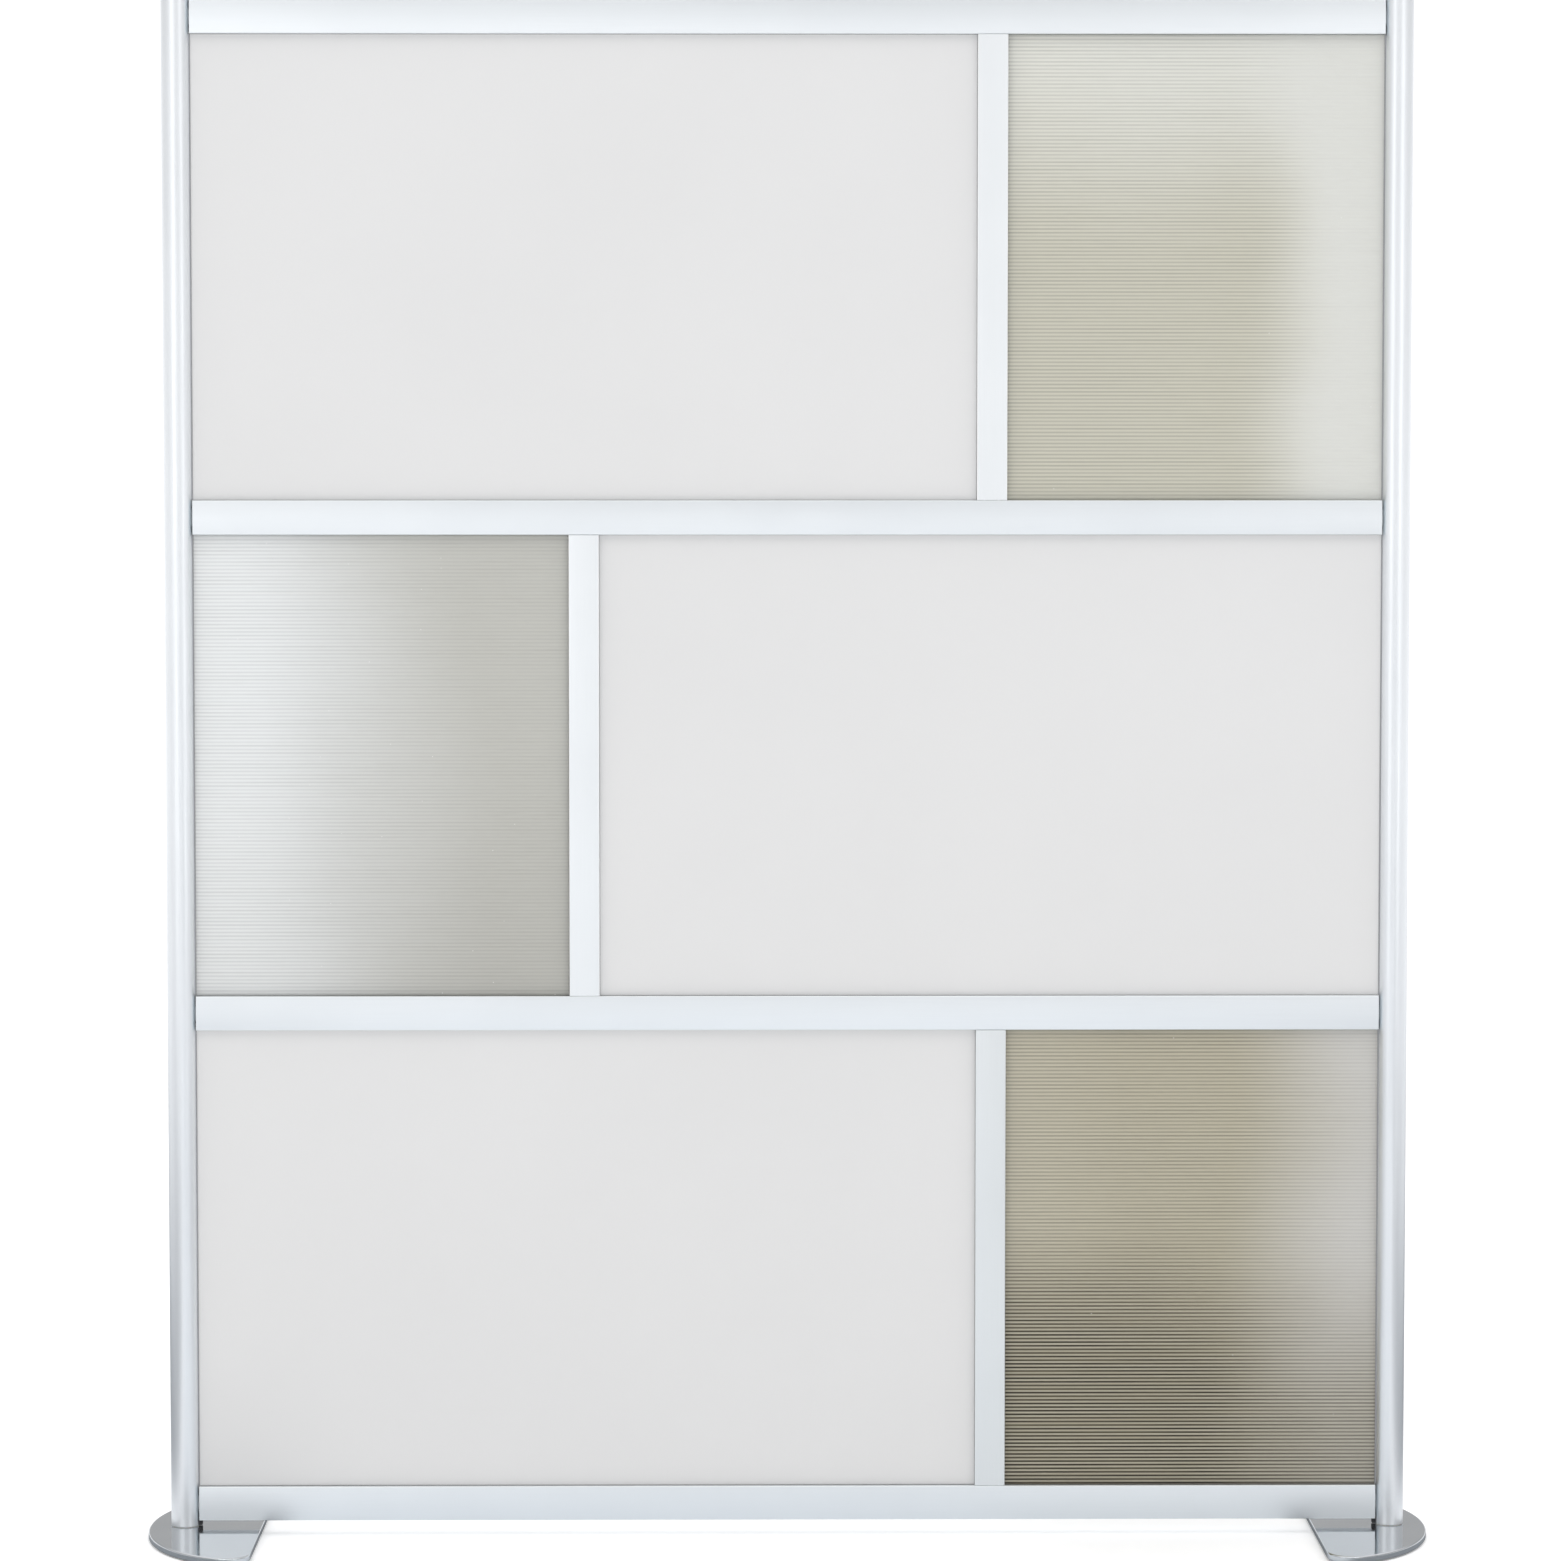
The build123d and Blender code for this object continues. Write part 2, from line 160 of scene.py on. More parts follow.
# %% [markdown]
# ## Posts
# Each post is a 35 mm round extrusion with one slot, which faces the panels and holds their rubber strip.
# The slot is narrow at its mouth and wider inside, so that a connector's head can hook behind its lips.
# The core inside the tube is hidden between the cap and the foot, so only the outside is made here, with
# a point every few degrees so that its outline stays round in a close view.

# %% Post outline and posts
POST_SLOT_HALF = 0.0041
POST_SLOT_LIP = 0.0025
POST_CHANNEL_HALF = 0.0062
POST_CHANNEL_DEPTH = 0.007
POST_POINTS = 121
POST_CHAMFER = 0.0005


def post_outline(radius, facing):
    """A circle from one lip of the slot round to the other, then the slot's walls. The circle's point at
    angle a is (radius cos a, radius sin a), and facing turns the slot towards +X (0) or -X (pi)."""
    lip = math.asin(POST_SLOT_HALF / radius)
    angle = np.linspace(lip, 2 * np.pi - lip, POST_POINTS)
    circle = radius * np.stack([np.cos(angle), np.sin(angle)], axis=1)
    mouth = radius - POST_SLOT_LIP
    floor = radius - POST_CHANNEL_DEPTH
    slot = np.array([
        (mouth, -POST_SLOT_HALF), (mouth, -POST_CHANNEL_HALF), (floor, -POST_CHANNEL_HALF),
        (floor, POST_CHANNEL_HALF), (mouth, POST_CHANNEL_HALF), (mouth, POST_SLOT_HALF),
    ])
    crest = np.zeros(POST_POINTS + len(slot))
    crest[[0, POST_POINTS - 1]] = 1
    turn = np.array([[math.cos(facing), math.sin(facing)], [-math.sin(facing), math.cos(facing)]])
    return np.concatenate([circle, slot]) @ turn, crest


for side, facing in (("left", 0.0), ("right", math.pi)):
    low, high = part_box(side + "_post")
    radius = (high.y - low.y) / 2
    points, crest = post_outline(radius, facing)
    points = points + np.array([(low.x + high.x) / 2, (low.y + high.y) / 2])
    post = extrusion(side + "_post_tube", points, crest, (low.z, high.z), POST_CHAMFER, (0, 1, 2))
    stands_for(post, side + "_post")
    print(post.name, len(post.data.polygons), "faces, radius", round(radius, 4))

# %% [markdown]
# ## Rails and uprights
# Rails and uprights share one section: a flat box with softly rounded corners and a groove in both narrow
# sides for the panels. The rails run from post to post, and the uprights are cut to stand between two
# rails. The rounded corners, with a highlight painted on them, draw the fine bright line along every bar.

# %% Frame outline, rails and uprights
FRAME_CORNER = 0.001
GROOVE_HALF = 0.0041
GROOVE_DEPTH = 0.010
GROOVE_EDGE = 0.0003
RAIL_CHAMFER = 0.0003
UPRIGHT_CHAMFER = 0.0002


def frame_outline(width, depth):
    """Twelve corners of a bar with a groove in its top and its bottom, rounded. The first direction goes
    through the wall and the second across the bar. It runs anticlockwise."""
    w, d, g, f = width / 2, depth / 2, GROOVE_HALF, width / 2 - GROOVE_DEPTH
    upper = [(d, w), (g, w), (g, f), (-g, f), (-g, w), (-d, w)]
    corners = upper + [(-across, -up) for across, up in upper]
    radii = [FRAME_CORNER, GROOVE_EDGE, GROOVE_EDGE, GROOVE_EDGE, GROOVE_EDGE, FRAME_CORNER] * 2
    return rounded(corners, radii)


for name in ("bottom_rail", "lower_rail", "upper_rail", "top_rail"):
    low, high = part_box(name)
    points, crest = frame_outline(high.z - low.z, high.y - low.y)
    points = points + np.array([0, (low.z + high.z) / 2])
    rail = extrusion(name + "_bar", points, crest, (low.x, high.x), RAIL_CHAMFER, (1, 2, 0))
    stands_for(rail, name)
    print(rail.name, "from", round(low.x, 4), "to", round(high.x, 4))

for name in ("bottom_upright", "middle_upright", "top_upright"):
    low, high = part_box(name)
    points, crest = frame_outline(high.x - low.x, high.y - low.y)
    points = points[::-1, ::-1] + np.array([(low.x + high.x) / 2, 0])
    span = (low.z, high.z)
    upright = extrusion(name + "_bar", points, crest[::-1], span, UPRIGHT_CHAMFER, (0, 1, 2))
    stands_for(upright, name)
    print(upright.name, "from", round(low.z, 4), "to", round(high.z, 4))

# %% [markdown]
# ## Fluted sheets
# The narrow bays hold twin-wall sheet: two thin skins joined by ribs 4.5 mm apart, which run across the
# bay. As the plastic cools, each skin sinks a little between its ribs, and those shallow hollows are why
# the sheet glitters in fine level lines. The surface is a grid: one direction goes across, and the other
# goes up in an even number of steps per flute. A UV map named Sheet keeps where each point is, across the
# sheet from 0 to 1 and up it counted in flutes, so that the finish can draw the ribs exactly on the crests.

# %% Fluted sheets
FLUTE_PITCH = 0.0045
FLUTE_STEPS = 8
SKIN_SINK = 0.00012
SHEET_COLUMNS = 13


def fluted_sheet(name, low, high):
    """A closed sheet. Its half thickness at height z is the full one less sink * (1 - cos(2 pi k)) / 2,
    with k the height in flutes, so the crests stand on the ribs. The front and back skins are the same
    grid, and four strips close it round the edge."""
    middle = (low.z + high.z) / 2
    flutes = int((high.z - low.z) / FLUTE_PITCH)
    start = middle - flutes * FLUTE_PITCH / 2
    count = np.linspace(0, flutes, flutes * FLUTE_STEPS + 1)
    count = np.concatenate([[(low.z - start) / FLUTE_PITCH], count, [(high.z - start) / FLUTE_PITCH]])
    sink = SKIN_SINK * (1 - np.cos(2 * np.pi * count)) / 2
    sink[[0, -1]] = 0
    across = np.linspace(0, 1, SHEET_COLUMNS)
    rows, columns = len(count), len(across)
    half = (high.y - low.y) / 2
    grid = np.empty((2, rows, columns, 3))
    grid[..., 0] = low.x + across * (high.x - low.x)
    grid[0, ..., 1] = -(half - sink)[:, None]
    grid[1, ..., 1] = (half - sink)[:, None]
    grid[..., 2] = (start + count * FLUTE_PITCH)[:, None]
    index = np.arange(2 * rows * columns).reshape(2, rows, columns)
    front, back = index
    near = np.stack([front[:-1, :-1], front[:-1, 1:], front[1:, 1:], front[1:, :-1]], axis=-1)
    far = np.stack([back[:-1, :-1], back[1:, :-1], back[1:, 1:], back[:-1, 1:]], axis=-1)
    left = np.stack([front[:-1, 0], front[1:, 0], back[1:, 0], back[:-1, 0]], axis=-1)
    right = np.stack([front[:-1, -1], back[:-1, -1], back[1:, -1], front[1:, -1]], axis=-1)
    top = np.stack([front[-1, :-1], front[-1, 1:], back[-1, 1:], back[-1, :-1]], axis=-1)
    bottom = np.stack([front[0, :-1], back[0, :-1], back[0, 1:], front[0, 1:]], axis=-1)
    faces = np.concatenate([part.reshape(-1, 4) for part in (near, far, left, right, top, bottom)])
    mesh = bpy.data.meshes.new(name)
    mesh.from_pydata(grid.reshape(-1, 3), [], faces.tolist())
    place = np.empty((2, rows, columns, 2))
    place[..., 0] = across
    place[..., 1] = count[:, None]
    corner = np.empty(len(mesh.loops), int)
    mesh.loops.foreach_get("vertex_index", corner)
    sheet_map = mesh.uv_layers.new(name="Sheet")
    sheet_map.uv.foreach_set("vector", place.reshape(-1, 2)[corner].astype(np.float32).ravel())
    mesh.shade_smooth()
    mesh.set_sharp_from_angle(angle=math.radians(40))
    sheet = bpy.data.objects.new(name, mesh)
    bpy.context.scene.collection.objects.link(sheet)
    return sheet, flutes


sheets = {}
for row in ("bottom", "middle", "top"):
    node = row + "_fluted_panel"
    sheets[row], flutes = fluted_sheet(node + "_sheet", *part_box(node))
    stands_for(sheets[row], node)
    print(sheets[row].name, flutes, "flutes,", len(sheets[row].data.polygons), "faces")

# %% [markdown]
# ## Building materials from nodes
# Each finish is a small tree of shader nodes. These helpers keep the trees readable: one adds a node and
# feeds its inputs, either with a number or with another node's output, and the others wrap the nodes that
# are used again and again. A number that is the same all over a surface goes straight onto the shader.


# %% Node helpers
def new_material(name, **constants):
    """A material with a Principled shader, whose plain values are given by name with _ for a space."""
    material = bpy.data.materials.new(name)
    material.use_nodes = True
    shader = material.node_tree.nodes["Principled BSDF"]
    for key, value in constants.items():
        shader.inputs[key.replace("_", " ")].default_value = value
    return material, shader


def add(material, kind, inputs, **settings):
    """A new node with its settings, and each input fed by a value or by another node's output."""
    node = material.node_tree.nodes.new("ShaderNode" + kind)
    for key, value in settings.items():
        setattr(node, key, value)
    for key, value in inputs.items():
        feed(material, node.inputs[key], value)
    return node


def feed(material, socket, value):
    """Links the socket to another node's output, or sets it to a plain value."""
    if isinstance(value, bpy.types.NodeSocket):
        material.node_tree.links.new(value, socket)
    else:
        socket.default_value = value


def maths(material, operation, first, second=0.0):
    """The result of one operation on two numbers, either of which may come from another node."""
    return add(material, "Math", {0: first, 1: second}, operation=operation).outputs[0]


def remap(material, value, from_range, to_range, kind="SMOOTHSTEP"):
    """Takes a value from one range to another, softly at both ends unless kind is LINEAR."""
    inputs = {
        "Value": value, "From Min": from_range[0], "From Max": from_range[1],
        "To Min": to_range[0], "To Max": to_range[1],
    }
    return add(material, "MapRange", inputs, interpolation_type=kind).outputs["Result"]


def mix_colours(material, factor, first, second):
    """Blends from the first colour to the second as the factor goes from 0 to 1."""
    node = add(material, "Mix", {}, data_type="RGBA")
    feed(material, node.inputs["Factor"], factor)
    for socket, value in zip([s for s in node.inputs if s.type == "RGBA"], (first, second)):
        feed(material, socket, value)
    return next(s for s in node.outputs if s.type == "RGBA")


def noise(material, scale, detail=2.0, stretch=(1, 1, 1)):
    """Noise on Object coordinates. scale is in lumps per metre, and stretch multiplies it along an axis."""
    place = add(material, "TexCoord", {}).outputs["Object"]
    scaled = add(material, "Mapping", {"Vector": place, "Scale": stretch}).outputs["Vector"]
    return add(material, "TexNoise", {"Vector": scaled, "Scale": scale, "Detail": detail}).outputs["Fac"]


def bump(material, height, strength, distance):
    """A normal that tilts with the slope of height, which is up to distance metres high."""
    inputs = {"Height": height, "Strength": strength, "Distance": distance}
    return add(material, "Bump", inputs).outputs["Normal"]


def linear(*levels):
    """A colour for a shader from display levels of 0 to 255: ((c + 0.055) / 1.055) ** 2.4 above 0.04."""
    share = np.array(levels) / 255
    return (*np.where(share > 0.04045, ((share + 0.055) / 1.055) ** 2.4, share / 12.92), 1.0)


# %% [markdown]
# ## Satin anodised aluminium
# Extrusions come off the die with fine lines along their length. They are etched and anodised, which
# turns the lines into a soft sheen with the faintest streaks. So the noise is stretched a hundredfold
# along the bar, it changes the roughness a little, and it lifts the surface by a few micrometres. Rounded
# edges get a painted highlight, a brighter colour and a smoother surface: the edge attribute of the new
# meshes says where they are. The bottom upright gets a greyer copy of the finish: painted shade for the
# dimmer light low down.


# %% Aluminium finishes
STREAK_STRETCH = 0.01
DULL, BRIGHT = 0.965, 1.06


def satin_aluminium(name, colour, along, roughness):
    """Metal with streaks along one axis: 0 for X, 2 for Z. Its colour goes from dull to the full colour
    with slow noise, a third of the way back with the streaks, and to bright on the edges, a painted
    highlight."""
    material, shader = new_material(name, Metallic=1.0)
    stretch = [1.0, 1.0, 1.0]
    stretch[along] = STREAK_STRETCH
    streaks = noise(material, 900.0, 3.0, stretch)
    clouds = noise(material, 4.0, 2.0)
    # Painted highlight: rounded edges and chamfers turn brighter.
    painted_edge_highlight = add(material, "Attribute", {}, attribute_name="edge").outputs["Fac"]
    dull = tuple(DULL * channel for channel in colour[:3]) + (1.0,)
    bright = tuple(min(1.0, BRIGHT * channel) for channel in colour[:3]) + (1.0,)
    tone = mix_colours(material, remap(material, clouds, (0.3, 0.7), (0, 1)), dull, colour)
    shade = remap(material, streaks, (0.3, 0.7), (0, 0.35))
    tone = mix_colours(material, shade, tone, dull)
    tone = mix_colours(material, painted_edge_highlight, tone, bright)
    feed(material, shader.inputs["Base Color"], tone)
    rough = remap(material, streaks, (0.25, 0.75), (roughness - 0.05, roughness + 0.05), "LINEAR")
    rough = maths(material, "SUBTRACT", rough, maths(material, "MULTIPLY", painted_edge_highlight, 0.08))
    feed(material, shader.inputs["Roughness"], rough)
    feed(material, shader.inputs["Normal"], bump(material, streaks, 0.12, 0.00002))
    return material


finishes = {
    "post_aluminium": satin_aluminium("satin_post", linear(241, 244, 247), 2, 0.34),
    "rail_aluminium": satin_aluminium("satin_rail", linear(244, 248, 251), 0, 0.40),
    "upright_aluminium": satin_aluminium("satin_upright", linear(249, 252, 254), 2, 0.40),
    "groove_cover": satin_aluminium("satin_cover", linear(238, 241, 244), 0, 0.40),
}
# Painted shade: the bottom upright gets a greyer copy of the upright's finish, for the dimmer light low
# down.
shaded_low_upright = satin_aluminium("satin_upright_painted_shade", linear(239, 242, 243), 2, 0.40)
print(len(finishes) + 1, "aluminium finishes")

# %% [markdown]
# The caps are the same metal, but turned on a lathe, so their streaks are rings. A wave texture makes
# rings, and it needs the cap's own middle. Both caps are far from the origin, so each gets its own
# material with a Mapping node that moves the rings' centre to the post's axis.


# %% Turned caps
def turned_cap(name, centre):
    """Metal with rings a millimetre apart about a vertical axis through centre."""
    material, shader = new_material(name, Metallic=1.0)
    place = add(material, "TexCoord", {}).outputs["Object"]
    moved = add(material, "Mapping", {"Vector": place, "Location": (-centre.x, -centre.y, 0)})
    inputs = {"Vector": moved.outputs["Vector"], "Scale": 320.0, "Distortion": 0.6, "Detail": 2.0}
    rings = add(material, "TexWave", inputs, wave_type="RINGS", rings_direction="Z").outputs["Fac"]
    grain = noise(material, 600.0)
    tone = mix_colours(material, grain, linear(236, 239, 242), linear(246, 248, 250))
    feed(material, shader.inputs["Base Color"], tone)
    feed(material, shader.inputs["Roughness"], remap(material, rings, (0, 1), (0.24, 0.34), "LINEAR"))
    feed(material, shader.inputs["Normal"], bump(material, rings, 0.15, 0.00002))
    return material


caps = {}
for side in ("left", "right"):
    low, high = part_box(side + "_post_cap")
    caps[side + "_post_cap"] = turned_cap(side + "_turned_cap", (low + high) / 2)
print(len(caps), "cap materials")

# %% [markdown]
# ## Laminate panels
# The wide panels are pale grey laminate on a thin board. Its surface is pressed against a fine matt
# plate, so it has a grain of about half a millimetre that only shows as a soft, even sheen. Two noises
# are enough: a very fine one for the grain's height and roughness, and a broad, faint one for the
# slight cloudiness of a pressed sheet.

# %% Laminate
laminate, shader = new_material("pale_laminate", Specular_IOR_Level=0.3)
grain = noise(laminate, 2200.0, 2.0)
clouds = noise(laminate, 2.5, 3.0)
cloudy = remap(laminate, clouds, (0.3, 0.7), (0, 1))
in_grain = remap(laminate, grain, (0.35, 0.7), (0, 0.25))
pale = mix_colours(laminate, cloudy, linear(217, 217, 217), linear(219, 219, 219))
pale = mix_colours(laminate, in_grain, pale, linear(210, 210, 211))
feed(laminate, shader.inputs["Base Color"], pale)
feed(laminate, shader.inputs["Roughness"], remap(laminate, grain, (0.3, 0.7), (0.42, 0.56), "LINEAR"))
feed(laminate, shader.inputs["Normal"], bump(laminate, grain, 0.25, 0.00003))
finishes["solid_panel"] = laminate
print("laminate with", len(laminate.node_tree.nodes), "nodes")

# %% [markdown]
# ## Translucent fluted sheet
# Light goes both ways through twin-wall sheet. Part of it is scattered back by the front skin, and part
# comes through from behind, so the finish is a Principled shader mixed with a Translucent one. The ribs
# are denser, and show as level lines once per flute: the cosine of the flute count from the UV map draws
# them, and a painted highlight gleams in the hollows between. The sheet's tone is painted light: the room
# around and behind it, painted in, lighter towards one side, deeper lower down and paler at the left edge,
# which a smooth step across and a smooth step up describe, with slow noise so that neither looks ruled.
# A few pale grains of dust cling to it, one in the middle of some cells of a Voronoi texture.


# %% Colour of a skin
SCATTERED_BACK = 0.55


def skin(*levels):
    """The colour t of each skin, so that a sheet of two skins, lit from both sides, shows the wanted tone
    w. A skin gives back a t of the light and lets b t through, with b = 1 - a. With the light that goes
    to and fro between the skins, w = a t + (b t)^2 / (1 - a t), which is solved for t."""
    wanted = np.array(linear(*levels)[:3])
    a = SCATTERED_BACK
    square = a * a - (1 - a) ** 2
    middle = a * (1 + wanted)
    colour = (middle - np.sqrt(middle ** 2 - 4 * square * wanted)) / (2 * square)
    return (*colour, 1.0)


# Painted light: a paler tone at the sheet's left edge, and a pale painted highlight in the hollows between
# ribs.
PAINTED_EDGE_LIGHT = skin(232, 231, 220)
PAINTED_GLEAM_TONE = skin(238, 232, 208)
DUST_TONE = skin(250, 250, 248)
print("a white skin is", [round(channel, 3) for channel in skin(255, 255, 255)])


# %% Tone of a sheet
TONE_DRIFT_ACROSS = 0.10
TONE_DRIFT_UP = 7.0


def painted_room_tone(material, split, painted_tones, across, down, lean, reach):
    """The painted tone of the room seen in the sheet, how far it has gone to the second tone, and how far
    to the deep one. It goes from first to second over the part of the width that across gives, and to deep
    from one height to the other of down, counted in flutes. lean is how many flutes later it does so at the
    far side. reach is how far it goes to deep where the tone is first and where it is second. It is a
    little paler at the left edge, painted light that comes round the upright."""
    first, second, deep = painted_tones
    drift = remap(material, noise(material, 3.0, 1.0), (0.25, 0.75), (-1, 1), "LINEAR")
    drift_across = maths(material, "MULTIPLY", drift, TONE_DRIFT_ACROSS)
    drift_up = maths(material, "MULTIPLY", drift, TONE_DRIFT_UP)
    sideways = maths(material, "ADD", split["X"], drift_across)
    upwards = maths(material, "ADD", split["Y"], drift_up)
    upwards = maths(material, "ADD", upwards, maths(material, "MULTIPLY", split["X"], lean))
    to_second = remap(material, sideways, across, (0, 1))
    to_deep = remap(material, upwards, down, (0, 1))
    tone = mix_colours(material, to_second, first, second)
    # Painted light: the left edge turns a little paler.
    edge = remap(material, split["X"], (0.0, 0.4), (0.12, 0))
    tone = mix_colours(material, edge, tone, PAINTED_EDGE_LIGHT)
    most = remap(material, to_second, (0, 1), reach, "LINEAR")
    deep_share = maths(material, "MULTIPLY", to_deep, most)
    return mix_colours(material, deep_share, tone, deep), to_second, deep_share


# %% Rib lines and dust
RIB_PAINTED_GLEAM = 0.4
RIB_SHADOW = 0.12
DUST_CELLS = 80.0


def rib_lines(material, split, tone, deep, to_second, deep_share, ribs):
    """The tone with its rib lines, and the ribs. A rib is a smooth step of cos(2 pi k), with k the height
    in flutes: 1 on a rib and 0 between two. Ribs are darker than the tone, and the hollows get a painted
    highlight, a pale gleam. ribs is how strong both are where the tone is first, where it is second and
    where it is deep, and noise along the ribs makes them uneven."""
    turns = maths(material, "MULTIPLY", split["Y"], 2 * math.pi)
    rib = remap(material, maths(material, "COSINE", turns), (-0.6, 1.0), (0, 1))
    broken = noise(material, 220.0, 1.0, (0.03, 1, 1))
    uneven = remap(material, broken, (0.3, 0.7), (0.75, 1.2), "LINEAR")
    plain = remap(material, to_second, (0, 1), ribs[:2], "LINEAR")
    strength = remap(material, deep_share, (0.15, 0.9), (plain, ribs[2]), "LINEAR")
    strength = maths(material, "MULTIPLY", strength, uneven)
    hollow = maths(material, "SUBTRACT", 1.0, rib)
    # Painted highlight: the hollows between the ribs turn paler.
    gleam = maths(material, "MULTIPLY", hollow, maths(material, "MULTIPLY", strength, RIB_PAINTED_GLEAM))
    tone = mix_colours(material, gleam, tone, PAINTED_GLEAM_TONE)
    shadow = tuple(RIB_SHADOW * channel for channel in deep[:3]) + (1.0,)
    line = maths(material, "MULTIPLY", rib, strength)
    return mix_colours(material, line, tone, shadow), rib


def dust(material, tone, share):
    """Adds pale grains. Each cell's own random colour says whether it is one of the share with a grain,
    which fades out between 0.03 and 0.07 of a cell from the cell's middle."""
    where = add(material, "TexCoord", {}).outputs["Object"]
    grains = add(material, "TexVoronoi", {"Vector": where, "Scale": DUST_CELLS}, feature="F1").outputs
    lot = add(material, "SeparateColor", {"Color": grains["Color"]}).outputs[0]
    chosen = maths(material, "LESS_THAN", lot, share)
    grain = remap(material, grains["Distance"], (0.03, 0.07), (0.7, 0))
    return mix_colours(material, maths(material, "MULTIPLY", grain, chosen), tone, DUST_TONE)


# %% Fluted sheet finishes
def fluted_finish(name, painted_tones, across, down, lean, reach, ribs, specks):
    """The finish of one sheet: scattered light mixed with light that comes through, both in its tone, which
    is painted light of the room around it.
    """
    material, shader = new_material(name, Specular_IOR_Level=0.5, IOR=1.58)
    place = add(material, "UVMap", {}, uv_map="Sheet").outputs["UV"]
    split = add(material, "SeparateXYZ", {"Vector": place}).outputs
    tone, to_second, deep_share = painted_room_tone(material, split, painted_tones, across, down, lean, reach)
    tone, rib = rib_lines(material, split, tone, painted_tones[2], to_second, deep_share, ribs)
    tone = dust(material, tone, specks)
    feed(material, shader.inputs["Base Color"], tone)
    feed(material, shader.inputs["Roughness"], remap(material, rib, (0, 1), (0.22, 0.38), "LINEAR"))
    through = add(material, "BsdfTranslucent", {"Color": tone})
    shaders = {0: 1 - SCATTERED_BACK, 1: shader.outputs[0], 2: through.outputs[0]}
    both = add(material, "MixShader", shaders)
    output = material.node_tree.nodes["Material Output"]
    feed(material, output.inputs["Surface"], both.outputs[0])
    return material


# Each sheet's three tones are painted light, the room seen in and through it: first, second and deep.
sheet_finishes = {
    "top": fluted_finish(
        "fluted_top", (skin(219, 220, 213), skin(213, 214, 209), skin(195, 193, 178)),
        across=(0.55, 0.87), down=(130.0, 58.0), lean=0.0, reach=(1.0, 0.0),
        ribs=(0.22, 0.05, 0.26), specks=0.03),
    "middle": fluted_finish(
        "fluted_middle", (skin(233, 237, 240), skin(187, 187, 181), skin(156, 155, 149)),
        across=(0.08, 0.80), down=(90.0, -60.0), lean=0.0, reach=(0.2, 0.55),
        ribs=(0.18, 0.11, 0.20), specks=0.22),
    "bottom": fluted_finish(
        "fluted_bottom", (skin(175, 169, 149), skin(196, 195, 191), skin(129, 120, 96)),
        across=(0.52, 0.95), down=(82.0, 28.0), lean=10.0, reach=(1.0, 0.50),
        ribs=(0.32, 0.12, 0.95), specks=0.02),
}
for row, material in sheet_finishes.items():
    sheets[row].data.materials.append(material)
    print(sheets[row].name, "gets", material.name)

# %% [markdown]
# ## Polished feet
# The foot plates are cut from 8 mm steel, ground, polished and chromed until they mirror the wall above
# them. A perfect mirror looks false, so fine scratches and a thin bloom of fingermarks change the
# roughness slightly, and the colour is the cool grey of chrome.

# %% Chrome
chrome, shader = new_material("polished_chrome", Metallic=1.0)
bloom = noise(chrome, 14.0, 4.0)
scratches = noise(chrome, 1500.0, 1.0, (1, 0.03, 1))
tone = mix_colours(chrome, bloom, linear(214, 218, 222), linear(222, 226, 229))
smear = remap(chrome, bloom, (0.35, 0.75), (0.045, 0.10))
rough = maths(chrome, "ADD", smear, maths(chrome, "MULTIPLY", scratches, 0.02))
feed(chrome, shader.inputs["Base Color"], tone)
feed(chrome, shader.inputs["Roughness"], rough)
feed(chrome, shader.inputs["Normal"], bump(chrome, scratches, 0.03, 0.00001))
finishes["foot_plate"] = chrome
print("chrome with", len(chrome.node_tree.nodes), "nodes")

# %% [markdown]
# ## Rubber, nylon and small hardware
# The strips and pads are black rubber with a powdery, slightly uneven surface. The long strips in the
# posts are grey, with painted shade that turns them black below the bottom rail. The washers are
# natural nylon. Bolts and screws are zinc plated, and the connectors are cast aluminium with a coarse
# skin. Most of this hardware only shows when a foot is turned or the wall is seen from close by.


# %% Small finishes
def grained(name, dark, pale, scale, rough_range, height, **constants):
    """A finish with one noise that drives colour, roughness and height."""
    material, shader = new_material(name, **constants)
    grain = noise(material, scale, 3.0)
    feed(material, shader.inputs["Base Color"], mix_colours(material, grain, dark, pale))
    feed(material, shader.inputs["Roughness"], remap(material, grain, (0.3, 0.7), rough_range, "LINEAR"))
    feed(material, shader.inputs["Normal"], bump(material, grain, 0.4, height))
    return material


finishes["gasket_rubber"] = grained(
    "black_rubber", linear(84, 84, 86), linear(104, 104, 106), 1500.0, (0.55, 0.75), 0.00005)
finishes["foot_pad"] = grained(
    "pad_rubber", linear(30, 30, 31), linear(52, 52, 53), 1100.0, (0.65, 0.85), 0.00008)
finishes["washer_nylon"] = grained(
    "natural_nylon", linear(206, 206, 202), linear(224, 224, 220), 900.0, (0.35, 0.5), 0.00003,
    Subsurface_Weight=0.1, Subsurface_Scale=0.001)
finishes["bolt_steel"] = grained(
    "zinc_bolt", linear(186, 188, 192), linear(214, 215, 217), 700.0, (0.25, 0.42), 0.00003, Metallic=1.0)
finishes["screw_steel"] = grained(
    "zinc_screw", linear(172, 174, 178), linear(204, 205, 208), 900.0, (0.28, 0.45), 0.00003, Metallic=1.0)
finishes["connector_metal"] = grained(
    "cast_aluminium", linear(176, 178, 180), linear(206, 207, 208), 500.0, (0.45, 0.65), 0.0001,
    Metallic=1.0)
print("finishes for", len(finishes), "slots")

